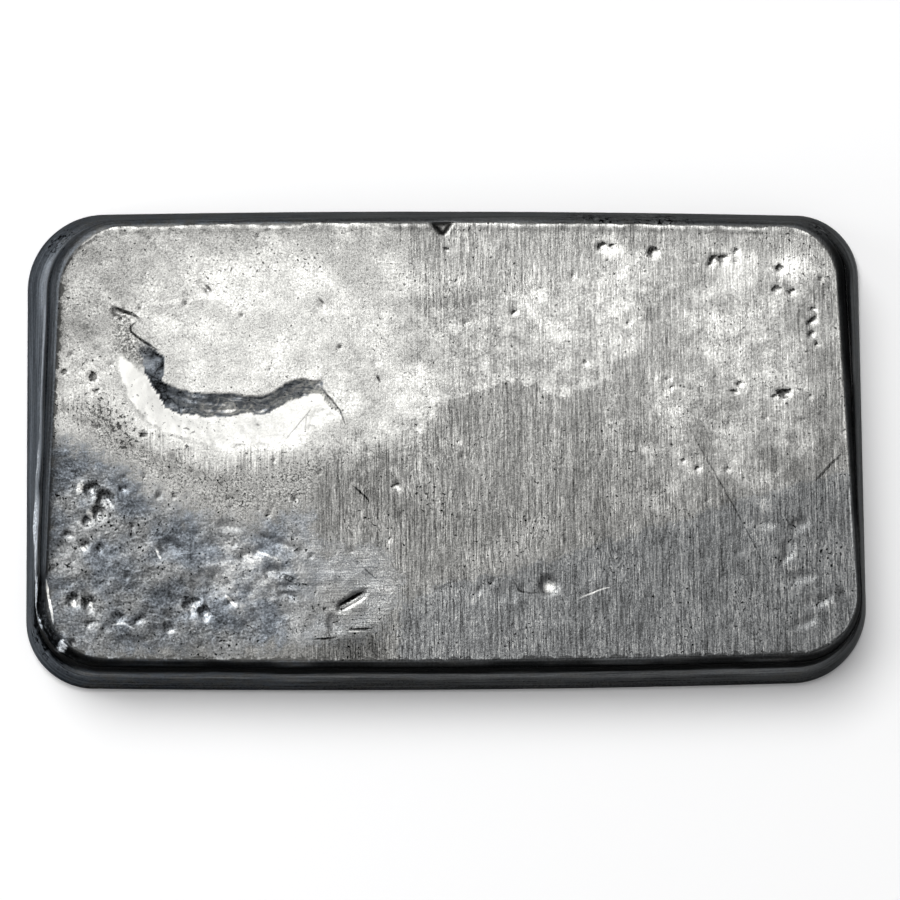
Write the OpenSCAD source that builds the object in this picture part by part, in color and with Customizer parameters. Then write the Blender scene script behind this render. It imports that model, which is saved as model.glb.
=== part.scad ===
// Poured metal ingot: one solid casting that lies on its pour side, with the
// face that filled the bottom of the mould on top. The walls lean in by the
// mould's draft, the long sides swell a little, and the face carries the
// faults of a hand pour: a crescent shrinkage tear, gas holes and dents.

/* [Bar] */
// Length over the widest level
bar_length = 80; // [60:0.5:120]
// Width over the widest level, at the middle of the long sides
bar_width = 46; // [36:0.5:70]
// Height from the pour side to the mould face
bar_height = 8.85; // [7:0.05:16]
// How far each long side swells out at its middle
side_bow = 0.5; // [0.1:0.1:1.5]

/* [Corners] */
// Corner radius at the left end, far side
corner_far_left = 7.2; // [3:0.1:10]
// Corner radius at the right end, far side
corner_far_right = 5.9; // [3:0.1:10]
// Corner radius at the right end, near side
corner_near_right = 7.2; // [3:0.1:10]
// Corner radius at the left end, near side
corner_near_left = 6.3; // [3:0.1:10]
// Radius of the mould face's own corners
corner_face = 5.7; // [2.5:0.1:9]

/* [Wall] */
// How far the face stands in from the widest level at each end
draft_end = 3; // [1.5:0.1:5]
// How far the face stands in from the widest level along each long side
draft_side = 2.6; // [1.5:0.1:5]
// How much longer the face is at its near edge than at its middle
face_flare = 0.9; // [0:0.1:1.5]
// Height of the widest level, where the skin of the melt curled over
foot_height = 1; // [0.4:0.1:2]
// How far the foot curls in below the widest level
foot_curl = 0.8; // [0.2:0.1:1.5]
// Height of the casting lap that runs round the wall
lap_height = 4.2; // [3:0.1:5]
// Step in at the lap
lap_step = 0.12; // [0.05:0.01:0.3]
// Height of the rounded shoulder below the face
shoulder_height = 1.1; // [0.5:0.1:2]

/* [Shrinkage tear] */
// Distance from the left end to the centre of the tear's arc
tear_from_end = 21; // [19:0.5:24]
// Distance from the far side to the centre of the tear's arc
tear_from_side = 6; // [4:0.5:8]
// Radius of the tear's steep inner lip
tear_radius = 12.9; // [8:0.1:14]
// Angle at which the tear starts, counted from the right end
tear_start = 199; // [190:1:220]
// Angle that the tear sweeps through
tear_sweep = 102; // [60:1:120]
// Depth of the tear at its middle
tear_depth = 1.2; // [0.4:0.1:2]
// Run of the steep lip
tear_lip = 1.6; // [0.5:0.1:2.5]
// Run of the gentle slope that climbs back to the face
tear_slope = 3.4; // [1.5:0.1:5]
// How far the lip wanders off its arc
tear_wander = 0.5; // [0:0.1:0.8]

/* [Faults in the face] */
// Radius of the round dimple
dimple_radius = 1.1; // [0.5:0.1:2]
// Depth of the round dimple
dimple_depth = 0.5; // [0.1:0.1:1]
// Length of the dug slot
slot_length = 2.9; // [1.5:0.1:6]
// Width of the dug slot
slot_width = 0.8; // [0.4:0.1:1.5]
// Angle of the dug slot
slot_angle = 29; // [0:1:90]
// Width of the nick in the far edge
nick_width = 1.9; // [0.8:0.1:3]
// How far the nick runs into the face
nick_run = 1.1; // [0.4:0.1:2]
// How far the nick runs down the wall
nick_drop = 2.4; // [0.8:0.1:4]
// Depth of the gas holes, as a share of their radius
hole_share = 0.8; // [0.4:0.05:0.95]
// Depth of the shallow pits, as a share of their radius
pit_share = 0.5; // [0.2:0.05:0.9]

/* [Hidden] */

// Steps that the curved stretches are divided into
corner_steps = 8;
side_steps = 14;
round_steps = 5;
tear_steps = 28;

// Shares of the draft taken up at the lap and at the foot of the shoulder
lap_share = 0.42;
shoulder_share = 0.66;

// How far a cutter stands clear of the skin that it cuts
clear = 0.4;

// The tear's width and lift at its tips, as shares of its width and depth, the
// waves in its lip, and the share of the slope at which its section bends
tip_spread = 0.15;
tip_lift = 0.1;
tear_waves = 2.25;
bend_at = 0.4;

// How far the lofted blank overruns the two flat sides, which are cut plane
overrun = 0.03;

left_end = -bar_length / 2;
right_end = bar_length / 2;
far_side = bar_width / 2;
near_side = -bar_width / 2;
far_face_edge = far_side - draft_side;

tear_centre = [left_end + tear_from_end, far_side - tear_from_side];
dimple_at = [right_end - 31.1, near_side + 9.4];
slot_at = [left_end + 30.4, near_side + 8.1];
nick_x = right_end - 40.6;

// Gas holes: distance from the right end, distance from the far side, radius
gas_holes = [
    [25.7, 4.9, 0.4],
    [24.6, 4.8, 0.3],
    [20.9, 5.3, 0.5],
    [14.7, 5.9, 0.5],
    [13.0, 5.1, 0.3],
    [8.8, 6.8, 0.5],
    [8.8, 8.8, 0.4],
    [5.9, 11.9, 0.35],
    [6.1, 13.1, 0.3],
    [8.6, 18.6, 0.55],
    [13.0, 17.8, 0.35],
    [19.4, 18.0, 0.3]
];

// Shallow pits: distance from the left end, distance from the near side, radius
shallow_pits = [
    [7.2, 17.6, 1.1],
    [6.3, 13.4, 0.7],
    [9.0, 26.4, 0.9],
    [14.0, 13.0, 1.3],
    [6.2, 8.2, 0.8]
];

// A level of the bar is its height, the share of the draft that it stands in
// by, and the share of the face's own outline that it has.
function foot_levels() = [
    for (step = [0 : round_steps])
        let (turn = 90 * step / round_steps)
        [
            foot_height - (foot_height + overrun) * cos(turn),
            foot_curl / draft_side * (1 - sin(turn)),
            0
        ]
];

function wall_levels() = [
    [lap_height, lap_share, lap_share],
    [lap_height + lap_step, lap_share + lap_step / draft_side, lap_share]
];

function shoulder_levels() = [
    for (step = [0 : round_steps])
        let (
            turn = 90 * step / round_steps,
            rise = (shoulder_height + overrun) * sin(turn),
            share = 1 - (1 - shoulder_share) * cos(turn)
        )
        [bar_height - shoulder_height + rise, share, share]
];

// Corners run anticlockwise from the far right one
corner_radii = [corner_far_right, corner_far_left, corner_near_left, corner_near_right];
corner_sides = [[1, 1], [-1, 1], [-1, -1], [1, -1]];

function blend(from, to, share) = from * (1 - share) + to * share;

function half_size(level) = [
    bar_length / 2 - draft_end * level[1],
    bar_width / 2 - side_bow - draft_side * level[1]
];

function corner_arc(corner, level) =
    let (
        radius = blend(corner_radii[corner], corner_face, level[2]),
        half = half_size(level),
        side = corner_sides[corner],
        centre = [side.x * (half.x - radius), side.y * (half.y - radius)]
    )
    [
        for (step = [0 : corner_steps])
            let (angle = 90 * (corner + step / corner_steps))
            centre + radius * [cos(angle), sin(angle)]
    ];

// The points along a long side, which swells, between two corner arcs
function long_side(start, end) = [
    for (step = [1 : side_steps - 1]) blend(start, end, step / side_steps)
];

// Swells the long sides, and splays the ends towards the near edge
function swell(point, level) =
    let (half = half_size(level), across = point.y / half.y, along = point.x / half.x)
    [
        point.x - face_flare * level[2] * across * along,
        point.y + side_bow * across * (1 - along * along)
    ];

function outline(level) =
    let (arcs = [for (corner = [0 : 3]) corner_arc(corner, level)])
    [
        for (corner = [0 : 3])
            let (arc = arcs[corner], next = arcs[(corner + 1) % 4])
            each concat(arc, corner % 2 == 0 ? long_side(arc[corner_steps], next[0]) : [])
    ];

function ring(level) = [
    for (point = outline(level))
        let (place = swell(point, level))
        [place.x, place.y, level[0]]
];

// Joins two neighbouring rings of points with triangles
function band(lower, upper, count) = [
    for (i = [0 : count - 1])
        let (next = (i + 1) % count)
        each [
            [lower + i, upper + i, upper + next],
            [lower + i, upper + next, lower + next]
        ]
];

module blank_loft() {
    levels = concat(foot_levels(), wall_levels(), shoulder_levels());
    rings = [for (level = levels) ring(level)];
    count = len(rings[0]);
    top = count * (len(levels) - 1);
    polyhedron(
        points = [for (points = rings) each points],
        faces = concat(
            [[for (i = [0 : count - 1]) i]],
            [for (k = [0 : len(levels) - 2]) each band(k * count, (k + 1) * count, count)],
            [[for (i = [0 : count - 1]) top + count - 1 - i]]
        )
    );
}

// The loft, cut plane on the pour side and on the mould face
module bar_blank() {
    slab = [bar_length + 2 * clear, bar_width + 2 * clear, bar_height];
    intersection() {
        blank_loft();
        translate([-slab.x / 2, -slab.y / 2, 0])
            cube(slab);
    }
}

// The tear's section at a share of its sweep, as distance from the arc's
// centre and height over the face: a steep lip, a foot and a gentle slope.
// At both tips the section lifts clear of the face, so the tear runs out.
function tear_section(share) =
    let (
        fullness = sqrt(sin(180 * share)),
        spread = blend(tip_spread, 1, fullness),
        sink = blend(-tip_lift, 1, fullness) * tear_depth,
        lip = tear_radius + tear_wander * sin(tear_waves * 360 * share)
    )
    [
        [lip - tear_lip * clear / tear_depth, clear],
        [lip + tear_lip * spread, -sink],
        [lip + (tear_lip + tear_slope * bend_at) * spread, -(1 - bend_at) * sink],
        [lip + (tear_lip + tear_slope) * spread + tear_slope * clear / tear_depth, clear]
    ];

module tear() {
    sections = [for (k = [0 : tear_steps]) tear_section(k / tear_steps)];
    last = 4 * tear_steps;
    translate([tear_centre.x, tear_centre.y, bar_height])
        polyhedron(
            points = [
                for (k = [0 : tear_steps])
                    let (angle = tear_start + tear_sweep * k / tear_steps)
                    for (point = sections[k])
                        [point[0] * cos(angle), point[0] * sin(angle), point[1]]
            ],
            faces = concat(
                [[3, 2, 1, 0]],
                [
                    for (k = [0 : tear_steps - 1], j = [0 : 3])
                        let (near = 4 * k, next = (j + 1) % 4)
                        each [
                            [near + j, near + next, near + 4 + next],
                            [near + j, near + 4 + next, near + 4 + j]
                        ]
                ],
                [[last, last + 1, last + 2, last + 3]]
            )
        );
}

// A round-bottomed pit, cut by a ball that is sunk to the pit's depth and laid
// on its side, so that its poles stay clear of the skin
module pit(place, radius, depth) {
    ball = (radius * radius + depth * depth) / (2 * depth);
    translate([place.x, place.y, bar_height + ball - depth])
        rotate([90, 0, 0])
            sphere(ball, $fn = 48);
}

module slot() {
    reach = (slot_length - slot_width) / 2;
    translate([slot_at.x, slot_at.y, bar_height])
        rotate(slot_angle)
            hull() {
                translate([-reach, 0, 0]) sphere(slot_width / 2, $fn = 24);
                translate([reach, 0, 0]) sphere(slot_width / 2, $fn = 24);
            }
}

// A three-cornered nick that runs from the face down over the shoulder
module nick() {
    out = draft_side + clear;
    spread = nick_width / 2 * (nick_run + out) / nick_run;
    translate([nick_x, far_face_edge, bar_height])
        polyhedron(
            points = [
                [0, -nick_run, clear],
                [-spread, out, clear],
                [spread, out, clear],
                [0, out, -nick_drop]
            ],
            faces = [[0, 1, 2], [0, 3, 1], [0, 2, 3], [1, 3, 2]]
        );
}

module ingot() {
    color("silver")
        difference() {
            bar_blank();
            tear();
            nick();
            slot();
            pit(dimple_at, dimple_radius, dimple_depth);
            for (hole = gas_holes)
                pit([right_end - hole[0], far_side - hole[1]], hole[2], hole_share * hole[2]);
            for (mark = shallow_pits)
                pit([left_end + mark[0], near_side + mark[1]], mark[2], pit_share * mark[2]);
        }
}

ingot();
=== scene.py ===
import math

import bpy
import numpy as np
from mathutils import Matrix, Vector


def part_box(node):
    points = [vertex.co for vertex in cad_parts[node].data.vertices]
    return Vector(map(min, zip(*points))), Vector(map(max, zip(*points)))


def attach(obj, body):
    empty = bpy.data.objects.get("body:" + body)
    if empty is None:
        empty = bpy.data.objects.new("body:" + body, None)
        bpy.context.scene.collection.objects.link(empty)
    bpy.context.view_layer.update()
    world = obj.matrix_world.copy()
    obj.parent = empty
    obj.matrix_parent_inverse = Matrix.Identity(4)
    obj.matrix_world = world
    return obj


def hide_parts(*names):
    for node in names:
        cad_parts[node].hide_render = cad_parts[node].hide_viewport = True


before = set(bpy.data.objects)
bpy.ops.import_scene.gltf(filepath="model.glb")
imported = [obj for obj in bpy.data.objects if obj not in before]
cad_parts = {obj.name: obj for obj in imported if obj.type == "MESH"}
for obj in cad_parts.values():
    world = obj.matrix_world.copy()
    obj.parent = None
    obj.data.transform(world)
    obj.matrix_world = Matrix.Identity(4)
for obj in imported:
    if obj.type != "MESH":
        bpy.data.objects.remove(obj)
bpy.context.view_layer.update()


# ---- The bar -------------------------------------------
# One casting of silver, poured by hand into an open iron mould and tipped out
# on to its pour side, so the face that filled the mould's bottom is on top.
# Lengths here are in millimetres until the mesh is made.

MM = 0.001

ingot_low, ingot_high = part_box("ingot")
BAR_LENGTH = (ingot_high.x - ingot_low.x) / MM
BAR_WIDTH = (ingot_high.y - ingot_low.y) / MM
BAR_HEIGHT = (ingot_high.z - ingot_low.z) / MM

SIDE_BOW = 0.5
# Corners run near left, near right, far right, far left
CORNER_SIGNS = ((-1, -1), (1, -1), (1, 1), (-1, 1))
CORNER_RADII = (6.3, 7.2, 5.9, 7.2)
FACE_CORNER_RADII = (5.7, 5.7, 4.6, 5.9)
DRAFT_END = 3.0
DRAFT_SIDE = 2.6
FACE_FLARE = 0.9
FOOT_HEIGHT = 1.0
FOOT_CURL = 0.8
LAP_HEIGHT = 4.2
LAP_STEP = 0.12
LAP_LEDGE = 0.02
LAP_SHARE = 0.42
SHOULDER_HEIGHT = 1.1
SHOULDER_SHARE = 0.66
SKIN = 0.1  # how far the face lies below the highest burrs
FACE_LEVEL = BAR_HEIGHT - SKIN

CELLS_ALONG = 336
CELLS_ACROSS = 186
UNDERSIDE_STEP = 3  # wall cells to one cell of the pour side
CORNER_SHARE = (0.066, 0.115)  # part of a long or a short side that lies in a corner

# Where the wall's rings lie: turns in degrees round the shoulder and the foot, heights between
SHOULDER_TURNS = (90, 80, 70, 60, 48, 36, 24, 12, 0)
UPPER_RINGS = (7.0, 6.2, 5.4, 4.8)
LOWER_RINGS = (3.4, 2.6, 1.8)
FOOT_TURNS = (90, 65, 45, 25, 0)


def smooth(value, low, high):
    """0 below low, 1 above high, and an even rise between."""
    t = np.clip((value - low) / (high - low), 0, 1)
    return t * t * (3 - 2 * t)


def crowd(cells, low, high, extra):
    """Parts from 0 to 1 of a side where the cells' edges lie, closer between low and high."""
    middle = (np.arange(cells) + 0.5) / cells
    closeness = smooth(middle, low - 0.05, low + 0.05) * smooth(-middle, -high - 0.05, -high + 0.05)
    widths = 1 / (1 + extra * closeness)
    return np.concatenate(((0,), np.cumsum(widths))) / widths.sum()


# The cells are closer where the tear lies
PARTS_ALONG = crowd(CELLS_ALONG, 0.08, 0.46, 0.6)
PARTS_ACROSS = crowd(CELLS_ACROSS, 0.42, 0.82, 0.5)


def wall_levels():
    """Height, share of the draft and share of the face's outline, from the face down."""
    levels = []
    for turn in SHOULDER_TURNS:
        share = 1 - (1 - SHOULDER_SHARE) * math.cos(math.radians(turn))
        rise = SHOULDER_HEIGHT * math.sin(math.radians(turn))
        levels.append((FACE_LEVEL - SHOULDER_HEIGHT + rise, share, share))
    over_lap = LAP_SHARE + LAP_STEP / DRAFT_SIDE
    for height in UPPER_RINGS:
        part = (height - LAP_HEIGHT) / (FACE_LEVEL - SHOULDER_HEIGHT - LAP_HEIGHT)
        share = over_lap + part * (SHOULDER_SHARE - over_lap)
        levels.append((height, share, share))
    levels.append((LAP_HEIGHT + LAP_STEP, over_lap, LAP_SHARE))
    levels.append((LAP_HEIGHT - LAP_LEDGE, LAP_SHARE, LAP_SHARE))
    for height in LOWER_RINGS:
        share = LAP_SHARE * (height - FOOT_HEIGHT) / (LAP_HEIGHT - FOOT_HEIGHT)
        levels.append((height, share, share))
    for turn in FOOT_TURNS:
        curl = FOOT_CURL / DRAFT_SIDE * (1 - math.sin(math.radians(turn)))
        levels.append((FOOT_HEIGHT * (1 - math.cos(math.radians(turn))), curl, 0))
    return levels


def side_points(side, part, level):
    """Points of one side at a level. A side runs from the middle of one corner to the
    middle of the next, and part is how far along it each point lies."""
    height, share, shape = level
    half_x = BAR_LENGTH / 2 - DRAFT_END * share
    half_y = BAR_WIDTH / 2 - SIDE_BOW - DRAFT_SIDE * share
    radii = [r * (1 - shape) + top * shape for r, top in zip(CORNER_RADII, FACE_CORNER_RADII)]
    eighth = math.pi / 4
    start = 5 * eighth + 2 * eighth * side
    turn_share = CORNER_SHARE[side % 2]
    ends = []
    for k, turned in enumerate((part, part - 1 + turn_share)):
        corner = (side + k) % 4
        centre = np.array(CORNER_SIGNS[corner]) * (half_x - radii[corner], half_y - radii[corner])
        turn = start + k * eighth + np.clip(turned / turn_share, 0, 1) * eighth
        ends.append(np.stack((np.cos(turn), np.sin(turn)), -1) * radii[corner] + centre)
    along = np.clip((part - turn_share) / (1 - 2 * turn_share), 0, 1)[:, None]
    point = ends[0] * (1 - along) + ends[1] * along
    across, length = point[:, 1] / half_y, point[:, 0] / half_x
    return np.stack(
        (
            point[:, 0] - FACE_FLARE * shape * across * length,
            point[:, 1] + SIDE_BOW * across * (1 - length ** 2),
        ),
        -1,
    )


def girth_points(level):
    """The outline as one closed loop of points, anticlockwise from the near left corner."""
    loop = []
    far_parts, left_parts = 1 - PARTS_ALONG[::-1], 1 - PARTS_ACROSS[::-1]
    for side, parts in enumerate((PARTS_ALONG, PARTS_ACROSS, far_parts, left_parts)):
        loop.append(side_points(side, parts[:-1], level))
    return np.concatenate(loop)


def patch(loop, parts_x, parts_y):
    """Fills a closed loop of points with a grid that follows all four of its sides."""
    cells_x, cells_y = len(parts_x) - 1, len(parts_y) - 1
    near = loop[: cells_x + 1]
    right = loop[cells_x : cells_x + cells_y + 1]
    far = loop[cells_x + cells_y : 2 * cells_x + cells_y + 1][::-1]
    left = np.concatenate((loop[2 * cells_x + cells_y :], loop[:1]))[::-1]
    u, v = parts_x[None, :, None], parts_y[:, None, None]
    corners = (
        near[0] * (1 - u) * (1 - v)
        + near[-1] * u * (1 - v)
        + far[0] * (1 - u) * v
        + far[-1] * u * v
    )
    return near[None] * (1 - v) + far[None] * v + left[:, None] * (1 - u) + right[:, None] * u - corners


def rim_of(grid_index):
    """Indices of a grid's outer points, in the same order as the loop that it fills."""
    return np.concatenate(
        (grid_index[0, :-1], grid_index[:-1, -1], grid_index[-1, :0:-1], grid_index[:0:-1, 0])
    )


LEVELS = wall_levels()
face_grid = patch(girth_points(LEVELS[0]), PARTS_ALONG, PARTS_ACROSS)
face_index = np.arange(face_grid.shape[0] * face_grid.shape[1]).reshape(face_grid.shape[:2])
x, y = face_grid[..., 0].ravel(), face_grid[..., 1].ravel()


def over_face(border_values, axis):
    """Repeats the values along one border of the face over the whole of it."""
    return np.repeat(np.expand_dims(border_values, axis), face_grid.shape[axis], axis).ravel()


# ---- The shrinkage tear --------------------------------
# The last metal to freeze pulled away and sank, and left a crescent with a
# steep, layered lip on its inner side and a smooth slope on the outer one.


def cast_noise(x, y, size, seed):
    """Smooth noise from 0 to 1 whose bumps are about size millimetres across."""
    table = np.random.RandomState(seed).rand(256, 256)
    px, py = x / size + 100, y / size + 100
    ix, iy = np.floor(px).astype(int), np.floor(py).astype(int)
    fx, fy = px - ix, py - iy
    fx, fy = fx * fx * (3 - 2 * fx), fy * fy * (3 - 2 * fy)
    ix, iy, jx, jy = ix % 256, iy % 256, (ix + 1) % 256, (iy + 1) % 256
    low = table[ix, iy] * (1 - fx) + table[jx, iy] * fx
    high = table[ix, jy] * (1 - fx) + table[jx, jy] * fx
    return low * (1 - fy) + high * fy


def rough_noise(x, y, size, seed, octaves=3):
    """Several sizes of cast noise together, from -1 to 1."""
    total, weight, scale = 0, 0, 1
    for k in range(octaves):
        total = total + (cast_noise(x, y, size / 2 ** k, seed + k) * 2 - 1) * scale
        weight += scale
        scale *= 0.55
    return total / weight


def path_distance(x, y, path):
    """Distance to an open path, and the share of the path at which its nearest point lies."""
    path = np.array(path, float)
    lengths = np.linalg.norm(np.diff(path, axis=0), axis=1)
    starts = np.concatenate(((0,), np.cumsum(lengths)))
    best = np.full(x.shape, 1e9)
    share = np.zeros(x.shape)
    for k, length in enumerate(lengths):
        ax, ay = path[k]
        dx, dy = (path[k + 1] - path[k]) / length
        along = np.clip((x - ax) * dx + (y - ay) * dy, 0, length)
        distance = np.hypot(x - ax - dx * along, y - ay - dy * along)
        nearer = distance < best
        best = np.where(nearer, distance, best)
        share = np.where(nearer, (starts[k] + along) / starts[-1], share)
    return best, share


def inside(x, y, border):
    """Whether each point lies inside a closed border."""
    crossings = np.zeros(x.shape, int)
    for (ax, ay), (bx, by) in zip(border, border[1:] + border[:1]):
        spans = (ay > y) != (by > y)
        reach = ax + (y - ay) * (bx - ax) / (by - ay if by != ay else 1e-9)
        crossings += spans & (x < reach)
    return crossings % 2 == 1


def zone(x, y, border):
    """Distance in from a closed border, negative outside it."""
    distance, _ = path_distance(x, y, border + border[:1])
    return np.where(inside(x, y, border), distance, -distance)


# The lip's edge, the foot of the lip and the outer edge of the slope, from the thin
# crack at the upper left round to the hook at the right end
TEAR_LIP = [
    (-31.5, 12.6), (-30.4, 12.1), (-29.1, 11.3), (-28.2, 9.1), (-26.9, 7.8), (-26.8, 6.8),
    (-26.9, 5.5), (-25.4, 4.7), (-24.3, 4.4), (-22.5, 4.3), (-20.8, 4.4), (-18.9, 4.1),
    (-17.6, 4.0), (-16.4, 4.7), (-15.4, 5.3), (-13.5, 5.7), (-12.3, 5.5), (-12.1, 4.7),
    (-11.1, 3.2), (-9.4, 1.5),
]
TEAR_FOOT = [
    (-31.5, 12.6), (-30.3, 10.4), (-28.9, 7.9), (-28.4, 6.2), (-27.7, 4.9), (-26.8, 3.2),
    (-25.4, 2.6), (-23.6, 2.3), (-21.9, 2.2), (-19.8, 2.4), (-18.4, 2.6), (-17.0, 2.8),
    (-15.4, 3.5), (-13.7, 4.3), (-12.4, 4.2), (-9.4, 1.5),
]
TEAR_APRON = [
    (-31.5, 12.6), (-31.7, 10.4), (-31.5, 8.1), (-31.3, 6.8), (-30.9, 5.2), (-30.3, 3.8),
    (-29.2, 2.4), (-28.1, 1.1), (-25.7, 0.2), (-23.0, -0.9), (-21.1, -1.4), (-19.5, -0.7),
    (-17.6, -0.9), (-14.9, -0.9), (-12.7, 0.2), (-10.8, 0.9), (-9.4, 1.5),
]
TEAR_DEPTH = 1.3
TEAR_RAGGED = 0.22  # how far the tear's outlines stray, and in finer steps
TEAR_RAGGED_FINE = 0.1
TEAR_LOBES = 7
TEAR_SCALLOP = 0.35
TEAR_LAYERS = 3.2
TEAR_LAYER_STEP = 0.08
TEAR_SCOOP = 0.5


def tear_relief(x, y):
    """Height of the tear's surface, how much of it is torn lip, how much is slope with a
    painted highlight, and how far down the lip each point lies."""
    wx = x + TEAR_RAGGED * rough_noise(x, y, 1.1, 11) + TEAR_RAGGED_FINE * rough_noise(x, y, 0.45, 14, 2)
    wy = y + TEAR_RAGGED * rough_noise(x, y, 1.1, 21) + TEAR_RAGGED_FINE * rough_noise(x, y, 0.45, 24, 2)
    from_lip, lip_share = path_distance(wx, wy, TEAR_LIP)
    from_foot, foot_share = path_distance(wx, wy, TEAR_FOOT)
    from_apron, _ = path_distance(wx, wy, TEAR_APRON)
    in_lip = inside(wx, wy, TEAR_LIP + TEAR_FOOT[::-1])
    in_slope = inside(wx, wy, TEAR_FOOT + TEAR_APRON[::-1])
    # It deepens from its start at the upper left and closes at the hook
    depth = TEAR_DEPTH * smooth(foot_share, 0.02, 0.55) * smooth(-foot_share, -0.97, -0.84)
    lobe = np.abs(np.sin(math.pi * TEAR_LOBES * lip_share + 0.5 * rough_noise(x, y, 3, 31)))
    scallop = TEAR_SCALLOP * (1 - lobe) * smooth(foot_share, 0.25, 0.4)
    # The slope reaches into the lip between its lobes
    in_scallop = in_lip & (from_foot < scallop)
    in_lip, in_slope = in_lip & ~in_scallop, in_slope | in_scallop
    from_foot = np.where(in_scallop, 0, from_foot)
    above_foot = np.maximum(from_foot - scallop, 0)
    fall = from_lip / (from_lip + above_foot + 1e-6)
    layers = TEAR_LAYER_STEP * np.sin(
        2 * math.pi * (TEAR_LAYERS * fall + 0.9 * rough_noise(x, y, 2.0, 34))
    )
    scoop = TEAR_SCOOP * (lobe - 0.7) * np.sin(math.pi * fall)
    lip = depth * (fall ** 0.8 + (layers + scoop) * smooth(fall, 0, 0.2))
    climb = from_foot / (from_foot + from_apron + 1e-6)
    slope = depth * (1 - climb) ** 1.25
    height = -np.where(in_lip, lip, np.where(in_slope, slope, 0))
    torn = in_lip * smooth(foot_share, 0.13, 0.2)
    # A painted highlight over the slope
    slope_highlight = in_slope * smooth(foot_share, 0.1, 0.2) * smooth(1 - climb, 0, 0.4)
    slope_highlight = slope_highlight * smooth(-foot_share, -0.99, -0.8)
    return height, torn, slope_highlight, fall


# ---- The faults in the face ----------------------------
# Gas holes, dents, a dug slot and a nick: bubbles that froze in the skin, and
# the marks of tongs, a punch and a drop.

# Place, radius and depth of each gas hole, before the skin ran back into it
PITS = [
    (14.3, 18.1, 0.5, 0.4), (15.4, 18.2, 0.38, 0.25), (19.1, 17.7, 0.55, 0.4),
    (24.9, 17.1, 0.55, 0.5), (25.9, 17.1, 0.5, 0.4), (24.6, 16.5, 0.4, 0.3),
    (27.0, 17.9, 0.35, 0.3), (28.0, 17.3, 0.25, 0.2), (31.0, 16.3, 0.4, 0.25),
    (30.8, 14.3, 0.5, 0.15), (32.3, 14.0, 0.4, 0.25), (34.1, 12.3, 0.3, 0.3),
    (34.1, 11.1, 0.4, 0.35), (34.0, 10.0, 0.4, 0.35), (34.2, 9.0, 0.3, 0.2),
    (31.4, 4.4, 0.6, 0.45), (30.4, 3.9, 0.35, 0.25), (27.0, 5.4, 0.3, 0.3),
    (26.6, 4.5, 0.3, 0.3), (33.7, 4.1, 0.3, 0.2), (20.6, 5.0, 0.25, 0.2),
    (12.6, 7.2, 0.35, 0.25), (17.8, 12.2, 0.25, 0.25), (16.5, 11.0, 0.22, 0.2),
    (21.7, -2.2, 0.25, 0.25), (23.0, -2.8, 0.3, 0.25), (22.8, -1.4, 0.22, 0.2),
    (25.6, -2.9, 0.25, 0.2), (-0.2, 17.9, 0.3, 0.25), (0.4, 14.9, 0.3, 0.2),
    (5.7, 11.9, 0.3, 0.2), (0.5, -0.2, 0.25, 0.2), (-5.8, -9.1, 0.25, 0.25),
    (-5.1, -4.5, 0.4, 0.3), (-17.1, -7.1, 0.3, 0.3), (-36.0, 6.5, 0.4, 0.3),
    (-33.4, 6.0, 0.4, 0.3), (-32.9, 4.9, 0.3, 0.25), (-33.4, -4.4, 0.7, 0.5),
    (-32.4, -5.4, 0.9, 0.6), (-32.8, -6.6, 0.8, 0.5), (-33.9, -7.6, 0.6, 0.4),
    (-34.2, -9.7, 0.5, 0.4), (-32.6, -9.9, 0.45, 0.35), (-35.6, -8.5, 0.4, 0.3),
    (-30.6, -4.4, 0.4, 0.3), (-28.6, 0.6, 0.4, 0.3), (-35.2, -14.9, 0.7, 0.4),
    (-33.8, -15.0, 0.6, 0.35), (-33.5, -16.9, 0.5, 0.35), (-30.9, -16.3, 0.5, 0.25),
    (-24.3, -15.2, 0.8, 0.35), (-23.2, -16.2, 0.7, 0.3), (-20.6, -15.1, 0.5, 0.3),
    (-26.3, -17.4, 0.6, 0.2), (-29.2, -16.6, 0.5, 0.25),
]

# Place, half-length, half-width, turn in degrees and depth of each long dent
DENTS = [
    (-26.2, -9.9, 1.3, 0.9, -25, 0.16),
    (-22.5, -13.2, 1.9, 1.5, 10, 0.12),
    (-11.2, -17.1, 0.45, 1.1, 15, 0.14),
    (-16.6, -9.5, 1.7, 0.5, -18, 0.13),
    (-18.8, -10.6, 1.4, 0.5, 12, 0.1),
    (-16.4, -12.0, 1.3, 0.4, 8, 0.13),
    (-20.8, -8.0, 1.3, 0.35, -14, 0.1),
    (-15.7, -13.6, 0.9, 0.25, -10, 0.16),
    (-15.4, -14.3, 0.9, 0.25, -10, 0.16),
    (32.3, -8.2, 1.0, 0.7, 15, 0.14),
    (31.2, -10.6, 0.6, 1.4, -20, 0.15),
    (32.5, -13.0, 1.6, 0.6, 5, 0.12),
    (33.8, -15.3, 1.4, 0.6, 8, 0.12),
    (29.2, -7.9, 0.9, 0.6, -30, 0.08),
    (32.8, -17.1, 1.2, 0.5, 20, 0.12),
    (-23.0, 14.3, 1.0, 0.25, -35, 0.22),
    (-30.7, 12.0, 1.1, 0.3, -30, 0.3),
    (-12.0, 12.9, 0.5, 0.18, -50, 0.12),
    (-7.1, 7.4, 0.5, 0.18, -50, 0.12),
    (5.2, -14.2, 1.2, 0.9, 0, 0.07),
]

# The share of its depth that a hole keeps: this much and its radius, up to the most
HOLE_KEPT = 0.2
HOLE_KEPT_MOST = 0.5
HOLE_RAGGED = 0.42
HOLE_REACH = 3.0  # how far from a hole its gap is still told
DIMPLE = (8.8, -13.6, 0.9, 0.3)
SLOT = (-9.55, -14.9, 1.55, 0.36, 29)  # place, half-length, half-width and turn
SLOT_DEPTH = 0.3
NICK_AT = -0.75
NICK_WIDTH = 1.95
NICK_RUN = 1.1
NICK_DEPTH = 0.9

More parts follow.
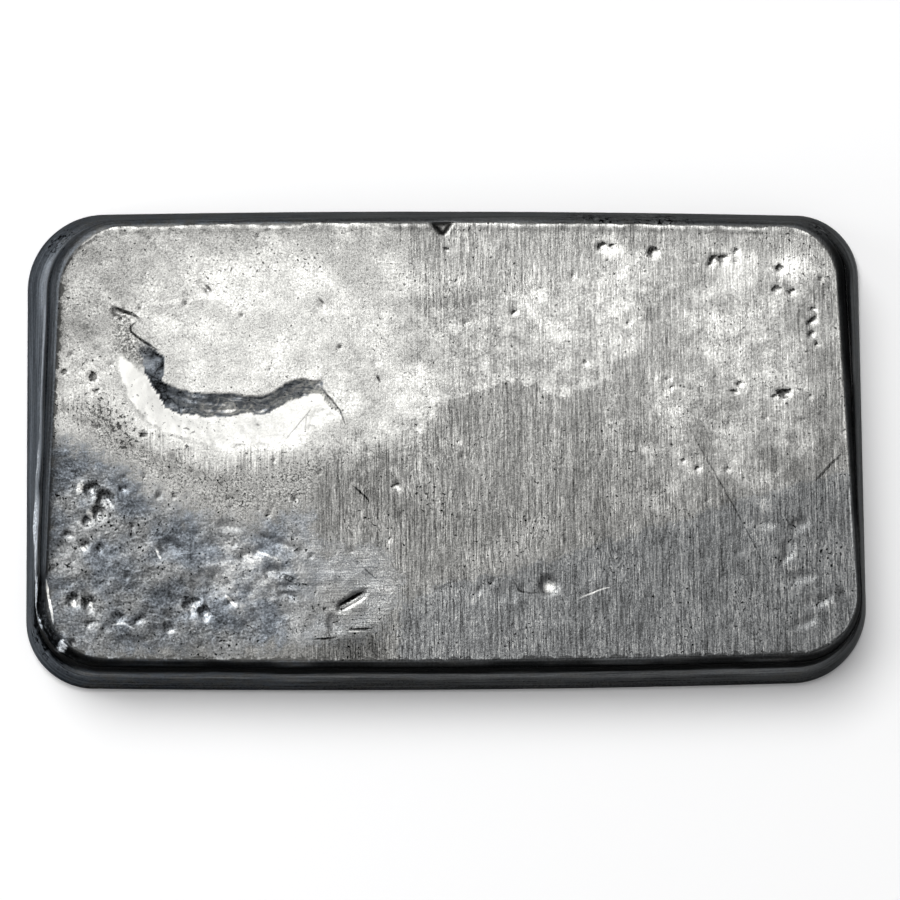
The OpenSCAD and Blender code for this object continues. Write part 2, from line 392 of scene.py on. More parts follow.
# The blue, hammered corner where the metal wrinkled as it touched cold iron
CHILL = [
    (-38, 0.4), (-35.5, -0.2), (-31.2, -2.2), (-29.2, -3.7), (-26.8, -6.0), (-23.0, -7.1),
    (-19.0, -8.2), (-14.9, -6.6), (-13.2, -7.2), (-12.7, -10.1), (-6.8, -10.2), (-5.1, -13.4),
    (-6.3, -16.7), (-7.4, -17.8), (-9.5, -18.3), (-13.9, -18.8), (-19.0, -19.3),
    (-28.4, -19.6), (-38, -19.8),
]


def bowl(x, y, place, radius, depth):
    """Depth of a round-bottomed pit."""
    away = ((x - place[0]) ** 2 + (y - place[1]) ** 2) / radius ** 2
    return depth * np.sqrt(np.clip(1 - away, 0, 1))


def trough(x, y, place, half_long, half_wide, turn, depth):
    """Depth of a long dent."""
    c, s = math.cos(math.radians(turn)), math.sin(math.radians(turn))
    along = ((x - place[0]) * c + (y - place[1]) * s) / half_long
    beside = (-(x - place[0]) * s + (y - place[1]) * c) / half_wide
    return depth * np.clip(1 - along ** 2 - beside ** 2, 0, 1) ** 0.7


def pitted(x, y):
    """Depth of all the hollows, distance to the nearest gas hole's edge, and how far
    towards that hole's near right side each point lies, which sets the painted shade and highlight in it."""
    wx = x + HOLE_RAGGED * rough_noise(x, y, 0.9, 41, 2)
    wy = y + HOLE_RAGGED * rough_noise(x, y, 0.9, 44, 2)
    depth = bowl(x, y, DIMPLE[:2], *DIMPLE[2:])
    depth = np.maximum(depth, SLOT_DEPTH * smooth(trough(x, y, SLOT[:2], *SLOT[2:], 1), 0, 0.35))
    gap, toward_lit_side = np.full(x.shape, HOLE_REACH), np.zeros(x.shape)
    for px, py, radius, deep in PITS:
        kept_depth = deep * min(HOLE_KEPT_MOST, HOLE_KEPT + radius)
        depth = np.maximum(depth, bowl(wx, wy, (px, py), radius * 0.9, kept_depth))
        away = np.hypot(wx - px, wy - py) - radius
        nearer = away < gap
        gap = np.where(nearer, away, gap)
        toward_lit_side = np.where(nearer, (0.5 * (wx - px) - 0.85 * (wy - py)) / radius, toward_lit_side)
    for dent in DENTS:
        depth = np.maximum(depth, trough(wx, wy, dent[:2], *dent[2:]))
    return depth, gap, np.clip(toward_lit_side, -2, 2)


CHILL_WRINKLE = 0.035
CHILL_LUMP = 0.07
CHILL_FINE = 0.03
WAVE = 0.05
WAVE_DROP = 0.06
GRIT = 0.014


def hammered(x, y):
    """Wrinkles and lumps of the chilled corner."""
    wrinkle = rough_noise(x * 0.5 + y * 0.2, y * 1.4 - x * 0.3, 1.6, 51, 4)
    lumps = rough_noise(x, y, 3.2, 61, 3)
    fine = rough_noise(x * 0.8, y * 1.2, 0.6, 65, 2)
    return CHILL_WRINKLE * (wrinkle - 0.5) + CHILL_LUMP * (lumps - 0.5) + CHILL_FINE * fine


# slope is the share of the tear's slope under its painted highlight
tear, torn, slope, fall = tear_relief(x, y)
holes, hole_gap, hole_lit_side = pitted(x, y)
chill = zone(x, y, CHILL)
wave = WAVE * rough_noise(x, y, 9, 81, 2) - WAVE_DROP
grit = GRIT * rough_noise(x, y, 0.7, 91, 2)
relief = tear - holes + wave + grit + smooth(chill, -0.5, 2.5) * hammered(x, y)

# The ragged burr along the far edge, where the skin was dragged up over it
BURR_RISE = 0.14
BURR_REACH = 0.3
BURR_END = 37  # how far along the edge it runs from the middle
from_far = over_face(face_grid[-1, :, 1], 0) - y
burr = smooth(-from_far, -0.7, -0.1) * smooth(BURR_END - np.abs(x), 0, 4)
burr_ragged = rough_noise(x, y * 0, 1.6, 95, 4)
relief = relief + BURR_RISE * burr * (0.6 + 0.4 * rough_noise(x, y, 1.3, 98, 3))

nick = NICK_RUN * (1 - np.abs(x - NICK_AT) * 2 / NICK_WIDTH) - from_far
relief = relief - NICK_DEPTH * smooth(nick, -0.05, 0.35)
face_z = FACE_LEVEL + np.minimum(relief, SKIN * 0.9)

face_points = np.column_stack((x, y + BURR_REACH * burr * burr_ragged, face_z))


# ---- The wall and the pour side ------------------------
# The wall froze against the mould from the foot up, in laps, and kept the dark
# skin of oxide. The pour side froze in the open and sank a little.

STREAK = 0.05
FINE_STREAK = 0.03
LAP_WANDER = 0.3

# Place, reach along and up the wall, and height of each lump on it
LUMPS = [
    ((-38.6, -3.8, 5.6), (1.3, 1.5), 0.35),
    ((-38.2, -8.6, 6.6), (3.0, 0.9), 0.2),
    ((-38.2, 4.0, 6.4), (6.0, 0.8), 0.18),
    ((-36.2, -18.4, 7.0), (0.9, 1.0), 0.25),
    ((38.2, 8.0, 6.2), (4.0, 0.7), 0.12),
]

# How light the wall is, from 0 to 1 as the eye sees it, at heights up each side: dark oxide, with painted
# shade in the black upper bands of the near and right walls, which face away from the key lamp, and a
# painted highlight in the light band round the left wall's ridge
OXIDE_AND_LIGHT = {
    (0, -1): (
        (0, 2.0, 3.2, 3.7, 5.0, 5.5, 8.2, 8.55, 8.75),
        (0.27, 0.3, 0.32, 0.43, 0.42, 0.17, 0.14, 0.2, 0.3),
    ),
    (1, 0): ((0, 1.5, 3.2, 4.0, 8.4, 8.75), (0.38, 0.46, 0.42, 0.18, 0.15, 0.25)),
    (0, 1): ((0, 1, 4, 7.4, 8.7), (0.33, 0.35, 0.36, 0.35, 0.36)),
    (-1, 0): (
        (0, 1, 3.4, 4.1, 4.6, 6.2, 6.9, 7.9, 8.75),
        (0.42, 0.46, 0.44, 0.42, 0.8, 0.74, 0.28, 0.26, 0.24),
    ),
}
# The near left corner, where the oxide is thick and black
SOOTY_CORNER = (-36.5, -16.5)
SOOTY_TONE = 0.13
# Place, reach and strength of the charred patches, where the wall is full of black specks
CHARRED = [
    (-36.8, -17.0, 3.6, 1), (-37.0, 20.0, 1.8, 1), (35.6, 21.0, 1.5, 1), (13.5, 22.3, 2.5, 1),
    (20, 22.3, 3.0, 1),
]
# Place along the left wall, height and strength of the painted highlight along the wall's ridge, where the
# ridge also swells out
RIDGE_GLINT_PATH = [
    (16, 5.4, 0.0), (12, 5.4, 0.36), (3, 5.4, 0.42), (0.5, 5.4, 0.45), (-0.8, 5.4, 0.9),
    (-2.6, 5.4, 0.8), (-3.6, 5.0, 0.1), (-5.0, 4.6, 0.7), (-7.5, 4.2, 1.0), (-11.0, 5.2, 1.0),
    (-13.5, 7.0, 0.9), (-17.0, 7.8, 0.6), (-19.0, 8.0, 0.0),
]
RIDGE_RISE = 0.3
RIDGE_SPREAD = 0.8
# A painted highlight on the rounded edge of the near left corner
CORNER_GLINT = (-36.1, -19.0, 0.7, 1)


def spots(x, y, places):
    """The sum of soft round spots, each with its place, reach and strength."""
    return sum(
        strength * np.exp(-((x - sx) ** 2 + (y - sy) ** 2) / reach ** 2)
        for sx, sy, reach, strength in places
    )


def oxide_and_light_tone(x, y, height, outward):
    """How light the wall's skin is, from the side that each point faces and its height: oxide, with painted
    shade and a painted highlight by side.
    """
    tone = 0
    for facing, (heights, tones) in OXIDE_AND_LIGHT.items():
        share = np.clip(outward @ np.array(facing), 0, 1) ** 2
        tone = tone + share * np.interp(height, heights, tones)
    away = np.hypot(x - SOOTY_CORNER[0], y - SOOTY_CORNER[1])
    sooty = smooth(-away, -5.5, -3.5) * smooth(height, 3.2, 4.2)
    return tone * (1 - sooty) + SOOTY_TONE * sooty


def ridge_glint_at(x, y, level_height):
    """How much of the ridge's painted highlight lies at each point of a ring of the wall."""
    along, heights, strengths = np.array(RIDGE_GLINT_PATH[::-1]).T
    away = (level_height - np.interp(y, along, heights)) / RIDGE_SPREAD
    return np.interp(y, along, strengths) * smooth(-x, 33, 36) * np.exp(-away ** 2)


wall_oxide_and_light, charred, wall_glint = [], [], []


def wall_ring(level, number):
    """One ring of the wall, with the streaks, laps and lumps that the mould left. Its
    tone of oxide with painted shade and highlight, its charred part and its painted glint are noted for the
    finish."""
    level_height = level[0]
    ring = girth_points(level)
    rx, ry = ring[:, 0], ring[:, 1]
    along = np.roll(ring, -1, 0) - np.roll(ring, 1, 0)
    outward = np.stack((along[:, 1], -along[:, 0]), -1) / np.linalg.norm(along, axis=1)[:, None]
    near_lap = max(0.0, 1 - abs(level_height - LAP_HEIGHT) / 1.2)
    height = np.full(len(ring), float(level_height))
    height += LAP_WANDER * near_lap * rough_noise(rx, ry, 11, 111, 3)
    # The foot and the face's edge stay as they are
    free = smooth(np.array(level_height), 0.6, 1.6)
    free = free * smooth(np.array(-level_height), -FACE_LEVEL, -FACE_LEVEL + 0.5)
    push = STREAK * rough_noise(rx, ry, 7, 120 + 5 * number, 3)
    push += FINE_STREAK * rough_noise(rx, ry, 0.8, 260 + 3 * number, 2)
    for (lx, ly, lz), (reach, rise), swell in LUMPS:
        near = ((rx - lx) ** 2 + (ry - ly) ** 2) / reach ** 2 + ((level_height - lz) / rise) ** 2
        push += swell * np.exp(-near)
    # A painted highlight along the ridge; the ridge swells out under it
    ridge_glint = ridge_glint_at(rx, ry, level_height)
    push += RIDGE_RISE * ridge_glint
    # A painted highlight on the edge of the near left corner
    corner_glint = spots(rx, ry, [CORNER_GLINT]) * smooth(level_height, 6.0, 7.5)
    wall_glint.append(np.maximum(ridge_glint, corner_glint))
    # The oxide's tone, with painted shade and highlight by the side that each point faces
    wall_oxide_and_light.append(oxide_and_light_tone(rx, ry, height + 0.5 * rough_noise(rx, ry, 5, 301, 3), outward))
    charred.append(spots(rx, ry, CHARRED) * smooth(height, 1.0, 3.0))
    place = ring + outward * (push * free - STREAK)[:, None] * free
    return np.column_stack((place, height))


wall_rings = [wall_ring(level, number) for number, level in enumerate(LEVELS[1:])]
girth = len(wall_rings[0])

# The pour side
UNDER_DISH = 0.35
UNDER_RIPPLE = 0.07
UNDER_INSET = 0.985
under_rim = girth_points(LEVELS[-1])[::UNDERSIDE_STEP] * UNDER_INSET
under_grid = patch(under_rim, PARTS_ALONG[::UNDERSIDE_STEP], PARTS_ACROSS[::UNDERSIDE_STEP])
ux, uy = under_grid[..., 0].ravel(), under_grid[..., 1].ravel()
inset = np.minimum(BAR_LENGTH / 2 - np.abs(ux), BAR_WIDTH / 2 - np.abs(uy))
dish = UNDER_DISH * smooth(inset, 2.5, 15)
ripple = UNDER_RIPPLE * (1 + rough_noise(ux, uy, 6, 101, 4)) * smooth(inset, 1.5, 4)
under_points = np.column_stack((ux, uy, dish + ripple))

points = np.concatenate([face_points] + wall_rings + [under_points])
ring_start = len(face_points)
under_start = ring_start + girth * len(wall_rings)


def grid_quads(index, facing):
    """The quads of a grid of points, facing up or down."""
    corners = (index[:-1, :-1], index[:-1, 1:], index[1:, 1:], index[1:, :-1])
    return np.stack(corners[::facing], -1).reshape(-1, 4)


quads = [grid_quads(face_index, 1)]
upper = rim_of(face_index)
for k in range(len(wall_rings)):
    lower = ring_start + k * girth + np.arange(girth)
    quads.append(np.stack((upper, lower, np.roll(lower, -1), np.roll(upper, -1)), -1))
    upper = lower
under_index = under_start + np.arange(len(under_points)).reshape(under_grid.shape[:2])
quads.append(grid_quads(under_index, -1))
faces = [tuple(quad) for quad in np.concatenate(quads).tolist()]

# The stitches between the fine rim of the wall and the coarse grid of the pour side
inner_rim = rim_of(under_index).tolist()
for k, inner in enumerate(inner_rim):
    fine = [int(upper[(k * UNDERSIDE_STEP + j) % girth]) for j in range(UNDERSIDE_STEP + 1)]
    for j in range(UNDERSIDE_STEP):
        faces.append((fine[j], fine[j + 1], inner))
    faces.append((fine[-1], inner_rim[(k + 1) % len(inner_rim)], inner))


def add_object(name, data):
    """A new object in the scene."""
    body = bpy.data.objects.new(name, data)
    bpy.context.scene.collection.objects.link(body)
    return body


mesh = bpy.data.meshes.new("poured_bar")
mesh.from_pydata((points * MM).tolist(), [], faces)
mesh.polygons.foreach_set("use_smooth", [True] * len(mesh.polygons))
mesh.update()
bar = add_object("poured_bar", mesh)

# The unwrapped skin: the face on top, the wall in three strips, the pour side below. An
# island is its left and lower edge, its width and its height.
FACE_ISLAND = (0.04, 0.49, 0.92, 0.50)
STRIPS = 3
STRIP_ISLAND = (0.02, 0.2, 0.96, 0.092)
STRIP_PITCH = 1.04
UNDER_ISLAND = (0.02, 0.01, 0.32, 0.18)


def lay_out(island, across, up):
    """Places in the unwrapped skin, from the shares across and up an island."""
    return np.stack((island[0] + island[2] * across, island[1] + island[3] * up), -1)


flat = lay_out(UNDER_ISLAND, 0.5 + points[:, 0] / BAR_LENGTH, 0.5 + points[:, 1] / BAR_WIDTH)
flat[:ring_start] = lay_out(FACE_ISLAND, 0.5 + x / (BAR_LENGTH - 5), 0.5 + y / (BAR_WIDTH - 4))
corner_point = np.zeros(len(mesh.loops), int)
mesh.loops.foreach_get("vertex_index", corner_point)
corner_uv = flat[corner_point]
per_strip = girth // STRIPS
step = np.arange(girth)
strip, along = step // per_strip, (step % per_strip) / per_strip
for k in range(len(wall_rings)):
    first = 4 * (len(quads[0]) + k * girth)
    base = STRIP_ISLAND[1] + STRIP_ISLAND[3] * strip * STRIP_PITCH
    top = base + STRIP_ISLAND[3] * (1 - k / len(wall_rings))
    bottom = base + STRIP_ISLAND[3] * (1 - (k + 1) / len(wall_rings))
    left = STRIP_ISLAND[0] + STRIP_ISLAND[2] * along
    right = left + STRIP_ISLAND[2] / per_strip
    ring_uv = np.stack((left, top, left, bottom, right, bottom, right, top), -1).reshape(-1, 2)
    corner_uv[first : first + 4 * girth] = ring_uv
mesh.uv_layers.new(name="OFBake").data.foreach_set("uv", corner_uv.ravel().astype(np.float32))


# ---- The finish ----------------------------------------
# Bare silver: frosted where it froze free, lined by the mould's tooling where
# it touched it, blue and wrinkled in the chilled corner, black on the wall, where oxide and painted shade
# darken it.


def mark(name, face_values, wall_values=0.0, under_value=0.0):
    """Stores a value at every point for the finish to read."""
    full = np.full(len(points), under_value, np.float32)
    full[:ring_start] = face_values
    full[ring_start:under_start] = wall_values
    mesh.attributes.new(name, "FLOAT", "POINT").data.foreach_set("value", full)


# The frosted skin round the tear
FROST = [
    (-39, 22), (-4.5, 22), (-4.2, 17), (-3, 13), (-1.8, 8), (-0.7, 3.7), (-2.5, 1), (-5, -1),
    (-10.5, -1.5), (-14, -2.5), (-18, -4.5), (-25.5, -4.5), (-29, -1.5), (-33, 0.9), (-39, 0.3),
]
# The paler skin of the far right part
PALE = [
    (-3.5, 2.8), (-1.2, 3.7), (1.6, 4.5), (5.1, 5.6), (7.4, 5.2), (9.8, 4.0), (12.1, 4.3),
    (14.2, 5.6), (16.5, 8.7), (18.2, 10.3), (19.9, 10.0), (21.8, 9.8), (19.5, 5), (20, 0),
    (22, -3.8), (27, -4.5), (31, -1), (34, 4), (35, 12), (34, 17), (22, 18), (8, 14), (-2.5, 12),
]
# The duller, bluer band along the near edge
DUSK = [
    (-5.1, -15.8), (-1.3, -13.4), (4.3, -12.6), (13.6, -9.9), (26.8, -5.8), (36.8, -3.0),
    (40, -3), (40, -24), (-5, -24),
]
# The grainy belt between the frost and the chilled corner
BELT = [
    (-36, 3.0), (-33, 3.4), (-30, 0.5), (-24, -1.8), (-20, -2.4), (-13, -1.6), (-10.5, -0.9),
    (-11.5, -3), (-13.2, -6), (-16, -6.4), (-19, -7.5), (-23.0, -6.6), (-28.1, -3.7), (-33, -0.5),
]
# The crushed skin where the tear starts
RUBBLE = [
    (-31.6, 11.4), (-30.2, 11.2), (-29.2, 9.6), (-28.2, 8.8), (-27.3, 7.6), (-28.4, 6.6),
    (-29.6, 7.4), (-31.4, 8.2),
]
# Place, reach and strength of the stains and the clean spots of the skin, with painted light among them: a
# painted highlight in the dimple at (8.8, -13.8) and painted light over the lumps' shade at (-20.5, -12.5)
STAINS_AND_LIGHT_SPOTS = [
    (-6, -3, 5, -0.1), (0, 10, 7, -0.12), (-24, -20, 7, -0.1), (-35, 11, 4, -0.1), (-30, 14, 7, -0.1),
    (-20.5, -12.5, 3.5, 0.09), (-24, -16, 1.2, 0.15), (32, 16.5, 1.4, 0.26), (27, 16.2, 1.8, 0.26),
    (31.5, 14.4, 1, -0.16), (-36.8, 18.8, 2, -0.15), (-9, -19.6, 3.5, -0.17), (20, 7.5, 3, 0.06),
    (-3.6, -4, 1.8, 0.1), (15.2, 18, 0.9, 0.25), (8.8, -13.8, 0.5, 0.45), (-5, 4.5, 3, 0.09),
    (35.5, 15, 3, -0.12), (19.5, 13, 2, -0.13), (23.7, 2, 2.5, -0.15),
]

# Place, reach and strength of the patches of black specks in the face
SPECKLED = [
    (-31.6, 1.8, 2.0, 0.8), (-29.8, -0.4, 1.8, 0.6), (-33.2, 3.6, 1.5, 0.5),
    (-10.6, -18.6, 2.0, 0.5), (-30.6, 10.4, 1.2, 0.5),
]

# Scratches and cracks, with painted light among them: bright glints on the rims of the chilled corner's
# pits and dents, a bright facet and a bright line at the near left corner, and the dark upper and bright
# lower edges of the slot and of the groove below it, which are painted shade and painted highlight. Path,
# half-width and how much lighter they are
SCARS_AND_GLINTS = [
    ([(20.4, 1.6), (21.6, 2.3), (23.6, -1.5), (26.2, -6.2), (30.0, -13.7)], 0.07, -0.16),
    ([(23.4, 1.8), (24.6, -1.4)], 0.05, -0.12),
    ([(33.9, -4.1), (34.9, -3.0), (36.6, -1.4)], 0.13, -0.25),
    ([(11.6, -14.9), (13.4, -14.1), (14.7, -13.8)], 0.08, 0.4),
    ([(-8.9, -11.4), (-6.9, -13.2)], 0.06, -0.2),
    ([(-9.0, -11.35), (-8.8, -11.45)], 0.24, -0.22),
    ([(-10.75, -15.4), (-8.4, -14.05)], 0.15, -0.5),
    ([(-10.45, -15.95), (-8.05, -14.6)], 0.1, 0.5),
    ([(-10.0, -17.6), (-7.4, -17.5)], 0.1, -0.4),
    ([(-10.0, -17.8), (-8.4, -17.75)], 0.08, 0.35),
    ([(-13.2, -18.5), (-10.8, -18.3)], 0.1, -0.35),
    ([(5.4, -12.9), (6.1, -14.1), (7.2, -14.4), (7.9, -14.2)], 0.1, -0.16),
    ([(-2.9, -14.2), (-1.3, -13.8), (0.1, -13.1), (1.3, -12.2)], 0.1, -0.1),
    ([(-15.8, -0.2), (-14.7, 1.1), (-13.6, 2.5), (-13.7, 0.6)], 0.05, -0.3),
    ([(-12.2, 4.9), (-11.4, 4.0), (-10.5, 2.8), (-9.9, 1.3)], 0.1, -0.4),
    ([(-31.6, 12.6), (-30.4, 12.1), (-29.6, 11.8), (-28.9, 11.2)], 0.15, -0.42),
    ([(-29.2, 11.3), (-29.9, 10.7), (-29.8, 10.2), (-29.2, 9.7), (-28.3, 9.1), (-27.2, 8.4)], 0.11, -0.38),
    ([(-31.0, 11.6), (-30.8, 11.3)], 0.22, -0.45),
    ([(-23.0, 14.6), (-22.3, 14.0)], 0.14, -0.35),
    ([(-12.4, 13.4), (-11.8, 12.8)], 0.09, -0.3),
    ([(-7.0, 6.2), (-6.7, 5.4)], 0.12, -0.4),
    ([(-29.2, 12.9), (-25.8, 13.0), (-23.0, 13.6), (-21.4, 13.4), (-19.0, 11.5)], 0.28, 0.08),
    ([(-36.7, -18.35), (-35.9, -18.8)], 0.32, 0.9),
    ([(-38.2, -11.2), (-37.5, -13.6), (-36.9, -17.0)], 0.12, 0.5),
    ([(-9.4, -4.2), (-8.2, -5.2), (-7.7, -5.9)], 0.09, -0.3),
    ([(-34.4, -3.7), (-34.7, -5.0)], 0.3, 0.3),
    ([(-33.9, -6.4), (-33.3, -7.2)], 0.3, 0.35),
    ([(-34.4, -9.9), (-34.0, -10.1)], 0.2, 0.4),
    ([(-35.4, -14.9), (-34.9, -15.1)], 0.3, 0.35),
    ([(-33.6, -14.9), (-33.4, -15.3)], 0.2, 0.35),
    ([(-31.8, -17.0), (-30.4, -16.9), (-29.4, -17.5)], 0.09, 0.25),
    ([(-27.6, -9.9), (-27.0, -11.2)], 0.1, 0.35),
    ([(-21.2, -14.3), (-20.2, -15.3)], 0.12, 0.35),
    ([(-18.5, -10.2), (-16.2, -11.1)], 0.12, 0.22),
    ([(-16.4, -12.2), (-14.4, -13.0)], 0.07, -0.25),
    ([(-16.2, -12.6), (-14.4, -13.5)], 0.07, -0.25),
]


def scar_and_glint_marks(x, y):
    """Signed distance to the nearest scar or painted glint, its half-width there and how much lighter it
    is.
    """
    best = np.full(x.shape, 1e9)
    side, width, change = np.zeros(x.shape), np.zeros(x.shape), np.zeros(x.shape)
    for path, half_width, lighter in SCARS_AND_GLINTS:
        distance, share = path_distance(x, y, path)
        taper = np.clip(np.sin(math.pi * share), 0, 1) ** 0.4
        signed = np.zeros(x.shape)
        closest = np.full(x.shape, 1e9)
        for (ax, ay), (bx, by) in zip(path, path[1:]):
            piece, _ = path_distance(x, y, [(ax, ay), (bx, by)])
            beside = ((x - ax) * (by - ay) - (y - ay) * (bx - ax)) / math.hypot(bx - ax, by - ay)
            signed = np.where(piece < closest, beside, signed)
            closest = np.minimum(closest, piece)
        nearer = distance - half_width < best
        best = np.where(nearer, distance - half_width, best)
        side = np.where(nearer, signed, side)
        width = np.where(nearer, half_width * taper, width)
        near = smooth(-distance, -half_width - 0.7, -half_width - 0.4)
        change = np.where(nearer, lighter * near * taper, change)
    return np.clip(side, -1.5, 1.5), width, change


from_left = x - over_face(face_grid[:, 0, 0], 1)
from_right = over_face(face_grid[:, -1, 0], 1) - x
from_near = y - over_face(face_grid[0, :, 1], 0)
from_sides = np.minimum(from_left, from_near)
edge = np.minimum.reduce((from_sides, from_right, from_far))
MARGIN_STAIN = -0.1  # the duller skin along the left edge
scar_glint_side, scar_glint_width, scar_glint_change = scar_and_glint_marks(x, y)

# What the finish reads of the face, point by point. A zone is the distance in from its border.
FACE_MARKS = {
    "frost": zone(x, y, FROST),
    "pale": zone(x, y, PALE),
    "dusk": zone(x, y, DUSK),
    "belt": zone(x, y, BELT),
    "rubble": zone(x, y, RUBBLE),
    "chill": chill,
    "torn": torn,
    "fall": fall,
    "slope": slope,
    "hole_gap": hole_gap,
    "hole_lit_side": hole_lit_side,
    "burr": burr,
    "from_sides": np.minimum(from_sides, 2),
    "nick": smooth(nick, -0.1, 0.25),
    "scar_glint_side": scar_glint_side,
    "scar_glint_width": scar_glint_width,
    "scar_glint_change": scar_glint_change,
    "stain_and_light": spots(x, y, STAINS_AND_LIGHT_SPOTS) + MARGIN_STAIN * smooth(-from_left, -0.9, -0.1),
    "face": 1.0,
}
for name, values in FACE_MARKS.items():
    mark(name, values)
# The wall's tone: oxide, with painted shade on the near and right walls and a painted highlight on the left
# one
mark("oxide_and_light", 0.0, np.concatenate(wall_oxide_and_light), 0.3)
mark("wall_glint", 0.0, np.concatenate(wall_glint))
mark("charred", spots(x, y, SPECKLED), np.clip(np.concatenate(charred), 0, 1))

# Where the pores lie: everywhere a few, most of them in the belt, none in the holes and the tear
pore_zone = 0.04 + 0.5 * smooth(FACE_MARKS["belt"], -1, 1)
pore_zone = pore_zone + 0.15 * smooth(-chill, -3, 3) * smooth(-x, 20, 30)
free_skin = smooth(edge, 0.5, 1.5) * smooth(hole_gap, 0, 0.3) * (1 - np.clip(torn + slope, 0, 1))
mark("porous", pore_zone * free_skin)

# How light each skin is, from 0 to 1 as the eye sees it
BRUSHED_TONE = 0.53
BRUSHED_RISE = 0.0055  # how much lighter it gets by the millimetre to the far edge
BRUSHED_LEAST = 0.49
PALE_TONE = 0.7
FROST_TONE = 0.765
BELT_TONE = 0.55
TONGUE_TONE = 0.54
RUBBLE_TONE = 0.6
LIP_TONE = 0.5
NICK_TONE = 0.27
CREPT_TONE = 0.22
FACE_SPECK_TONE = 0.25
WALL_SPECK_TONE = 0.04
# The tone of the painted highlights on the wall
WALL_GLINT_TONE = 0.8
# What all the tones are scaled by, and the ends that they are held between
TONE_SCALE = 0.94
DARKEST = 0.06
LIGHTEST = 0.95

# From what the eye sees to the light that is thrown back, and the metal's own colours
TONE_CURVE = 2.2
# The tone painted into the pores' bowls as painted shade
PORE_SHADE_TONE = 0.03
WARM_SILVER = (1.0, 0.995, 0.955, 1)
BLUE_SILVER = (0.88, 0.97, 1.08, 1)
GRAIN_HEIGHT = 0.04 * MM

finish = bpy.data.materials.new("cast_silver")
finish.use_nodes = True
nodes = finish.node_tree.nodes
shader = nodes["Principled BSDF"]


def join(socket, value):
    """Links a socket to another node's output, or sets it to a plain value."""
    if isinstance(value, bpy.types.NodeSocket):
        socket.id_data.links.new(value, socket)
    else:
        socket.default_value = value


def calc(operation, *values, kind="ShaderNodeMath", within=nodes):
    """A sum node, in the finish's tree or another. Returns the output that is in use."""
    node = within.new(kind)
    node.operation = operation
    for socket, value in zip(node.inputs, values):
        join(socket, value)
    return next(socket for socket in node.outputs if socket.enabled)


def vector(operation, *values, **where):
    """The same with vectors."""
    return calc(operation, *values, kind="ShaderNodeVectorMath", **where)


def total(first, *others):
    """Numbers added up."""
    for value in others:
        first = calc("ADD", first, value)
    return first


def times(first, *others):
    """Numbers multiplied together."""
    for value in others:
        first = calc("MULTIPLY", first, value)
    return first


def mixed(value, *layers):
    """A value with each layer laid over it at its own strength."""
    for layer, strength in layers:
        value = total(value, times(layer, strength))
    return value


def rise(value, low, high, start=0.0, end=1.0):
    """An even rise from start to end as the value goes from low to high."""
    node = nodes.new("ShaderNodeMapRange")
    node.interpolation_type = "SMOOTHSTEP"
    names = ("Value", "From Min", "From Max", "To Min", "To Max")
    for name, number in zip(names, (value, low, high, start, end)):
        join(node.inputs[name], number)
    return node.outputs["Result"]


def between(share, first, second):
    """A blend of two numbers by a share."""
    node = nodes.new("ShaderNodeMix")
    for number, value in zip((0, 2, 3), (share, first, second)):
        join(node.inputs[number], value)
    return node.outputs[0]


def marked(name):
    """The value that was stored at each point under a name."""
    node = nodes.new("ShaderNodeAttribute")
    node.attribute_name = name
    return node.outputs["Fac"]


place = nodes.new("ShaderNodeTexCoord").outputs["Object"]
in_mm = vector("MULTIPLY", place, (1 / MM, 1 / MM, 1 / MM))
split = nodes.new("ShaderNodeSeparateXYZ")
join(split.inputs[0], in_mm)
at_x, at_y = split.outputs[:2]


def noise(stretch, detail=2.0, roughness=0.5):
    """Noise with its own number of bumps per millimetre along each axis."""
    node = nodes.new("ShaderNodeTexNoise")
    join(node.inputs["Vector"], vector("MULTIPLY", in_mm, stretch))
    for name, value in (("Scale", 1.0), ("Detail", detail), ("Roughness", roughness)):
        node.inputs[name].default_value = value
    return node


def mottle(*shape):
    """Noise as a number around zero."""
    return calc("SUBTRACT", noise(*shape).outputs[0], 0.5)


patches = mottle((0.22, 0.22, 0.22), 5, 0.55)
clouds = mottle((0.9, 0.9, 0.9), 4, 0.6)
speckle = mottle((4.5, 4.5, 4.5), 3, 0.7)
grains = mottle((8, 8, 8), 1, 0.6)
speck_grain = mottle((2.4, 2.4, 2.4), 3, 0.7)
streaks = mottle((0.09, 0.09, 3.2), 4, 0.6)

on_face = marked("face")
on_wall = calc("SUBTRACT", 1.0, on_face)
in_tear, in_slope = marked("torn"), marked("slope")
charring = marked("charred")
in_charred = rise(charring, 0.1, 0.4)

# The mould's tooling: close parallel lines, broken and uneven, and weak in the left part
LINE_PITCH = 0.26
tool_lines = mottle((7.5, 0.14, 0.3), 2, 0.65)
short_lines = mottle((7, 0.8, 1.0), 1)
bent_x = mixed(at_x, (mottle((0.5, 0.12, 0.1), 2), 5.0), (short_lines, 0.5))
comb = calc("SINE", times(bent_x, 2 * math.pi / LINE_PITCH))
comb = times(comb, rise(patches, -0.12, 0.12, 0.03, 0.085))
lines = mixed(comb, (tool_lines, 0.55), (short_lines, 0.4))
lines = times(lines, rise(at_x, -18, -10, 0.2, 1.0))


def share_of(name, low, high, *layers):
    """The share of a zone at each point, with its border broken up by the layers."""
    return rise(mixed(marked(name), *layers), low, high)


